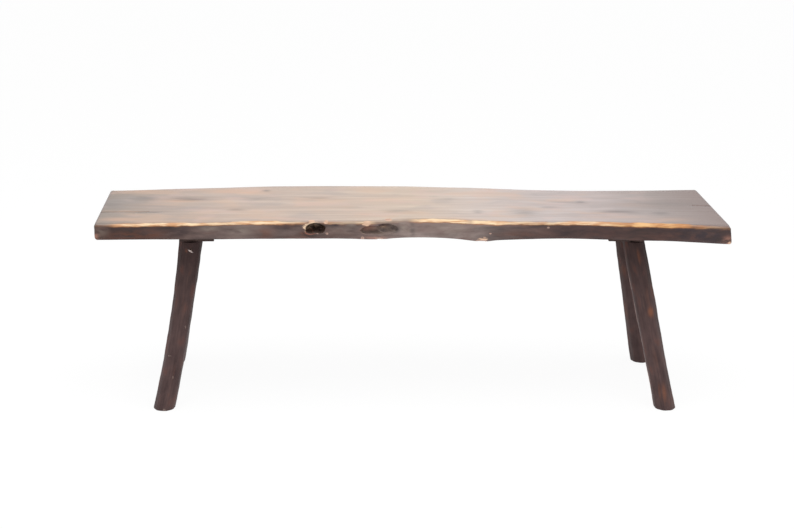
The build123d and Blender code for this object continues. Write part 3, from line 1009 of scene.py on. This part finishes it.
def waxed_plank():
    """Softwood, stained brown and waxed by hand: streaky and a little glossy on top, near black in
    the natural edges, and worn through to pale bare wood along the front arris."""
    made, add = material("hand_waxed_stained_pine", {"Coat Weight": 0.15, "Coat Roughness": 0.35})
    place = add("TexCoord", {}).outputs["Object"]
    read, fade = gather(add, place, PLANK_VALUES, PLANK_PATTERNS, PLANK_FADES)
    mottle = read["mottle"]

    # Growth rings, bent by slow waves and round the knots
    from_pith = add("VectorMath", {0: place, 1: PITH}, **SUM)
    flat = add("VectorMath", {0: from_pith, 1: (0, 1, 1)}, **PRODUCT)
    radius = add("VectorMath", {0: flat}, operation="LENGTH").outputs["Value"]
    bent = add("Math", {0: read["wave"], 1: WAVE_BEND, 2: radius}, **PRODUCT_SUM)
    bent = add("Math", {0: read["stain"], 1: KNOT_BEND, 2: bent}, **PRODUCT_SUM)
    turn = add("Math", {0: bent, 1: 2 * math.pi / RING_GAP}, **PRODUCT)
    swing = add("Math", {0: turn}, operation="SINE")
    rings = add("Math", {0: swing, 1: 0.5, 2: 0.5}, **PRODUCT_SUM)

    # The top: its tones along it, which carry a painted sheen, with grain and streaks
    reach = {"From Min": PLANK_LOW.x, "From Max": PLANK_HIGH.x}
    tones_and_sheen = add("ValToRGB", {"Fac": add("MapRange", {"Value": read["along"], **reach})})
    stops = tones_and_sheen.color_ramp.elements
    for along, code in SEAT_TONES_AND_SHEEN[1:-1]:
        stops.new((along - PLANK_LOW.x) / PLANK_LENGTH).color = colour(code)
    stops[0].color = colour(SEAT_TONES_AND_SHEEN[0][1])
    stops[-1].color = colour(SEAT_TONES_AND_SHEEN[-1][1])
    grain = add("Mix", {"Factor": 0.5, "A": rings, "B": read["fibres"]})
    tone = add("Mix", {"Factor": 0.78, "A": grain, "B": read["streaks"]})
    tone = add("MapRange", {"Value": tone, "From Min": 0.34, "From Max": 0.66})
    shade = add("Mix", {"Factor": tone, "A": colour("E6E0DD"), "B": colour("FFFFFF")}, **COLOURS)
    wood = add("Mix", {"Factor": 1.0, "A": tones_and_sheen, "B": shade}, blend_type="MULTIPLY", **COLOURS)

    # Warm, pink and cool blotches except at the even right end, worn and stained patches, and a darker
    # tone along the rim
    layers = []
    for name, code in (("warm", "CBA588"), ("pink", "C9A9A0"), ("cool", "948C8B")):
        factor = add("Math", {0: fade[name], 1: fade["even"]}, **PRODUCT)
        layers.append((factor, colour(code)))
    for name, code in (("glow", "CDA184"), ("stain", "57504D")):
        factor = add("Math", {0: fade["patchy"], 1: read[name]}, **PRODUCT)
        layers.append((factor, colour(code)))
    wood = lay(add, wood, [*layers, (fade["rim_darkening"], colour("5F5054"))])

    # The natural edges: dark, mottled, with russet, grey and sooty patches, two of the sooty ones painted
    # shadow in the shallow hollow, and the sawn ends
    dark_bark = add("Mix", {"Factor": mottle, "A": colour("2A1816"), "B": colour("51342D")}, **COLOURS)
    pale_bark = add("Mix", {"Factor": mottle, "A": colour("6E5C57"), "B": colour("9B8A84")}, **COLOURS)
    bark = add("Mix", {"Factor": read["pale"], "A": dark_bark, "B": pale_bark}, **COLOURS)
    ends = add("Mix", {"Factor": rings, "A": colour("35241F"), "B": colour("513A31")}, **COLOURS)
    dip_wood = add("Mix", {"Factor": mottle, "A": colour("44342C"), "B": colour("8A7567")}, **COLOURS)
    layers = [(fade["red"], colour("5E382C")), (read["end"], ends), (fade["dip"], dip_wood)]
    patches = {"russet": "6A3C26", "grey": "8A7C72", "soot_and_shadow": "28181F", "blush": "B88370"}
    for name, code in patches.items():
        factor = add("Math", {0: read[name], 1: fade["broken"]}, **PRODUCT)
        layers.append((factor, colour(code)))
    bark = lay(add, bark, layers)

    # The worn arrises: a ragged pale band with brighter flecks, amber at its lower border where the
    # stain runs out
    starts = add("Math", {0: read["chips"], 1: 7 * MM, 2: read["side"]}, **PRODUCT_SUM)
    starts = add("Math", {0: starts, 1: read["wide"]}, **SUM)
    starts = add("MapRange", {"Value": starts, "From Min": -1.5 * MM, "From Max": 3.0 * MM}, **SOFT)
    starts = add("Math", {0: starts, 1: read["bare"]}, **PRODUCT)
    amber, band = (add("Math", {0: fade[name], 1: starts}, **PRODUCT) for name in ("amber", "band"))
    shine = fade["shine"]
    bare_wood = add("Mix", {"Factor": shine, "A": colour("D29C6E"), "B": colour("FADCB2")}, **COLOURS)
    sunned = add("Mix", {"Factor": shine, "A": colour("BE8048"), "B": colour("E6B478")}, **COLOURS)
    bare_wood = add("Mix", {"Factor": fade["right"], "A": bare_wood, "B": sunned}, **COLOURS)
    flecks = read["flecks"]
    tan_wood = add("Mix", {"Factor": flecks, "A": colour("9C6E58"), "B": colour("ECC8A8")}, **COLOURS)

    # The deep knot hollow: a pale broken lip above its left side, red rot below that, and painted shade
    # that turns it near black in its depth
    lip = add("Math", {0: fade["lip"], 1: fade["left"]}, **PRODUCT)
    high = fade["high"]
    lip_wood = add("Mix", {"Factor": high, "A": colour("7E4530"), "B": colour("E8C8A8")}, **COLOURS)
    rot_and_shade = add("Mix", {"Factor": fade["depth"], "A": colour("4A352C"), "B": colour("120C0A")}, **COLOURS)
    layers = [
        (fade["face"], bark), (amber, colour("8E5C38")), (band, bare_wood), (fade["fresh"], tan_wood),
        (fade["nicked"], colour("D2B0A0")), (lip, lip_wood), (fade["hole"], rot_and_shade),
    ]
    wood = lay(add, wood, layers)

    gloss = add("Mix", {"Factor": fade["face"], "A": 0.36, "B": 0.60})
    gloss = add("Math", {0: read["streaks"], 1: 0.2, 2: gloss}, **PRODUCT_SUM)
    relief = add("Mix", {"Factor": fade["face"], "A": read["fibres"], "B": mottle})
    bump = add("Bump", {"Height": relief, "Strength": 0.3, "Distance": 0.5 * MM})
    return surface(made, {"Base Color": wood, "Roughness": gloss, "Normal": bump})


LEG_PATTERNS = {
    "fibres": ((3.8, 3.8, 62), 4.0), "patches": ((25, 25, 50), 3.0), "rubs": ((17, 17, 45), 3.0),
}
LEG_VALUES = ("arris", "rubbed", "warm", "nick")

# How the marks on the legs fade in, in rows like the plank's
LEG_FADES = {
    # Painted shade: each leg darkens towards its top, under the seat
    "painted_shade_under_seat": ("up", 160 * MM, 400 * MM, 0.45),
    "thin": ("patches", 0.54, 0.70, 0.4),
    "rust": ("warm", 0.40, 1.25, 0.9, ("fibres", 0.5)),
    "near": ("arris", 2.6 * MM, 0.4 * MM, 0.35),
    "patchy": ("rubs", 0.48, 0.64, 1),
    # A painted highlight along one arris, fading out towards the top of the leg
    "line": ("rubbed", 9 * MM, 6 * MM, 0.9, ("rubs", 2 * MM)),
    "low": ("up", 380 * MM, 280 * MM, 1),
    "nicked": ("nick", 1.25, 1.05, 0.7),
}


def hewn_pole():
    """Hardwood poles shaved with a drawknife, stained nearly black and waxed: long fibres along the leg,
    and the stain rubbed thin on patches and on the arrises between facets. Painted shade darkens each leg
    towards the seat, and a painted highlight runs as a pale line down one arris."""
    constants = {"Specular IOR Level": 0.32, "Specular Tint": colour("F2D6CE")}
    made, add = material("shaved_dark_stained_ash", constants)
    place = add("Attribute", {}, attribute_name="straight").outputs["Vector"]
    read, fade = gather(add, place, LEG_VALUES, LEG_PATTERNS, LEG_FADES)
    patches = read["patches"]
    tone = add("Mix", {"Factor": 0.7, "A": read["fibres"], "B": patches})
    tone = add("MapRange", {"Value": tone, "From Min": 0.34, "From Max": 0.66})
    wood = add("Mix", {"Factor": tone, "A": colour("403233"), "B": colour("634F4D")}, **COLOURS)
    warm_wood = add("Mix", {"Factor": patches, "A": colour("70402E"), "B": colour("94634A")}, **COLOURS)
    rubbed = add("Math", {0: fade["near"], 1: fade["patchy"]}, **PRODUCT)
    # The pale line is a painted highlight down one arris
    line = add("Math", {0: fade["line"], 1: fade["low"]}, **PRODUCT)
    # The first layer is painted shade under the seat
    layers = [
        (fade["painted_shade_under_seat"], colour("231816")), (fade["thin"], colour("663E34")), (fade["rust"], warm_wood),
        (rubbed, colour("8A6C62")), (line, colour("C0A09A")), (fade["nicked"], colour("B09A92")),
    ]
    wood = lay(add, wood, layers)
    gloss = add("MapRange", {"Value": patches, "To Min": 0.45, "To Max": 0.65})
    gloss = add("Math", {0: fade["painted_shade_under_seat"], 1: 0.3, 2: gloss}, **PRODUCT_SUM)
    bump = add("Bump", {"Height": read["fibres"], "Strength": 0.3, "Distance": 0.4 * MM})
    return surface(made, {"Base Color": wood, "Roughness": gloss, "Normal": bump})


def sawn_cleat():
    """Sawn board, stained like the legs but not waxed: matt, with saw marks across it."""
    made, add = material("sawn_dark_stained_pine", {"Specular IOR Level": 0.4})
    place = add("TexCoord", {}).outputs["Object"]
    scaled = add("Mapping", {"Vector": place, "Scale": per_mm(3.8, 83, 3.8)})
    fibres = add("TexNoise", {"Vector": scaled, "Scale": 1.0, "Detail": 4.0})
    scaled = add("Mapping", {"Vector": place, "Scale": per_mm(170, 3, 170)})
    saw = add("TexNoise", {"Vector": scaled, "Scale": 1.0, "Detail": 2.0})
    tone = add("Mix", {"Factor": 0.4, "A": fibres, "B": saw})
    tone = add("MapRange", {"Value": tone, "From Min": 0.36, "From Max": 0.64})
    wood = add("Mix", {"Factor": tone, "A": colour("30211F"), "B": colour("54403A")}, **COLOURS)
    bump = add("Bump", {"Height": saw, "Strength": 0.4, "Distance": 0.5 * MM})
    return surface(made, {"Base Color": wood, "Roughness": 0.75, "Normal": bump})


def split_wedge():
    """Split hardwood left bare: pale, with straight fibres."""
    made, add = material("split_bare_oak", {"Specular IOR Level": 0.4})
    place = add("TexCoord", {}).outputs["Object"]
    scaled = add("Mapping", {"Vector": place, "Scale": per_mm(2, 2, 33)})
    fibres = add("TexNoise", {"Vector": scaled, "Scale": 1.0, "Detail": 3.0})
    wood = add("Mix", {"Factor": fibres, "A": colour("A9865C"), "B": colour("D0B083")}, **COLOURS)
    return surface(made, {"Base Color": wood, "Roughness": 0.7})


def cut_iron(name, head=None):
    """Cut iron nails with a thin brown skin of rust. A head in plain view, given by its middle and
    the way to the nail's tip, is rubbed bright."""
    made, add = material(name, {"Metallic": 0.85})
    place = add("TexCoord", {}).outputs["Object"]
    scaled = add("Mapping", {"Vector": place, "Scale": per_mm(1.4, 1.4, 1.4)})
    skin = add("TexNoise", {"Vector": scaled, "Scale": 1.0, "Detail": 4.0})
    iron = add("Mix", {"Factor": skin, "A": colour("4A3A33"), "B": colour("7C6A60")}, **COLOURS)
    if head:
        middle, way = head
        inwards = add("VectorMath", {0: place, 1: way}, operation="DOT_PRODUCT").outputs["Value"]
        edge = middle.dot(way) + 1.5 * MM
        rubbed = add("MapRange", {"Value": inwards, "From Min": edge + MM, "From Max": edge}, **SOFT)
        bright = add("Mix", {"Factor": skin, "A": colour("A89088"), "B": colour("FFF4F0")}, **COLOURS)
        iron = add("Mix", {"Factor": rubbed, "A": iron, "B": bright}, **COLOURS)
    bump = add("Bump", {"Height": skin, "Strength": 0.4, "Distance": 0.3 * MM})
    return surface(made, {"Base Color": iron, "Roughness": 0.5, "Normal": bump})


def seen_plainly(add):
    """One for what the eye, reflections and glass see, zero for the light that falls on things."""
    path = add("LightPath", {}).outputs
    seen = add("Math", {0: path["Is Camera Ray"], 1: path["Is Glossy Ray"]}, operation="MAXIMUM")
    return add("Math", {0: seen, 1: path["Is Transmission Ray"]}, operation="MAXIMUM")


def studio_white():
    """Plain white for the eye and in reflections, with a little true white paint for shadows."""
    made = bpy.data.materials.new("white_studio_floor")
    made.use_nodes = True
    made.node_tree.nodes.clear()
    add = partial(add_node, made.node_tree)
    seen = add("Math", {0: seen_plainly(add), 1: 1 - FLOOR_PAINT}, **PRODUCT)
    paint = add("BsdfDiffuse", {"Color": colour("FAFAFA")})
    glow = add("Emission", {"Color": (1, 1, 1, 1), "Strength": FLOOR_GLOW})
    mixed = add("MixShader", {0: seen, 1: paint, 2: glow})
    add("OutputMaterial", {"Surface": mixed})
    return made


def dress(piece, wood):
    """Give a new piece its finish and smooth shading, and let it ride with the bench."""
    pick(piece)
    piece.data.materials.clear()
    piece.data.materials.append(wood)
    bpy.ops.object.shade_smooth_by_angle(angle=math.radians(38))
    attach(piece, "root")


def camera_and_light():
    """The fitted camera, a white world and one large soft lamp high over the bench."""
    lens = bpy.data.cameras.new("camera")
    lens.sensor_width = SENSOR_WIDTH
    lens.lens = SENSOR_WIDTH * LENS_SHARE
    camera = bpy.data.objects.new("camera", lens)
    bpy.context.scene.collection.objects.link(camera)
    level = Matrix.Rotation(-CAMERA_YAW, 4, "Z") @ Matrix.Rotation(math.pi / 2 - CAMERA_PITCH, 4, "X")
    roll = Matrix.Rotation(CAMERA_ROLL, 4, "Z")
    camera.matrix_world = Matrix.Translation(CAMERA_PLACE) @ level @ roll
    bpy.context.scene.camera = camera

    world = bpy.data.worlds.new("white_studio")
    world.use_nodes = True
    bpy.context.scene.world = world
    world.node_tree.nodes.clear()
    add = partial(add_node, world.node_tree)
    lit = add("Background", {"Color": (1, 1, 1, 1), "Strength": WORLD_LIGHT})
    white = add("Background", {"Color": (1, 1, 1, 1), "Strength": 1.0})
    mixed = add("MixShader", {0: seen_plainly(add), 1: lit, 2: white})
    add("OutputWorld", {"Surface": mixed})

    softbox = bpy.data.lights.new("softbox", "AREA")
    softbox.shape = "RECTANGLE"
    softbox.size, softbox.size_y = SOFTBOX_SIZE
    softbox.energy = SOFTBOX_POWER
    lamp = bpy.data.objects.new("softbox", softbox)
    bpy.context.scene.collection.objects.link(lamp)
    lamp.location = SOFTBOX_PLACE


def studio_floor():
    """A plain pale floor that runs out of sight."""
    pick(None)
    bpy.ops.mesh.primitive_plane_add(size=60, location=(0, 0, 0))
    floor = named("studio_floor")
    floor.data.materials.append(studio_white())


bpy.context.scene.view_settings.view_transform = "Standard"
camera_and_light()
studio_floor()

plank_finish = waxed_plank()
seat = bench_seat()
dress(seat, plank_finish)
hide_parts("seat_plank")

cleat_finish = sawn_cleat()
for node in CLEAT_TURN:
    cleat = bench_cleat(node)
    dress(cleat, cleat_finish)
    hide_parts(node)

leg_finish = hewn_pole()
for node in LEG_TURN:
    leg = bench_leg(node)
    dress(leg, leg_finish)
    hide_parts(node)

wedge_finish = split_wedge()
rusty = cut_iron("rusted_cut_iron")
rubbed_bright = cut_iron("rubbed_cut_iron", (nail_head, (nail_tip - nail_head).normalized()))
for node, piece in nodes.items():
    if node.startswith("wedge"):
        piece.material_slots[0].material = wedge_finish
    if node.startswith("cleat_nails"):
        piece.material_slots[0].material = rusty
nodes["leg_nail_front_left"].material_slots[0].material = rubbed_bright
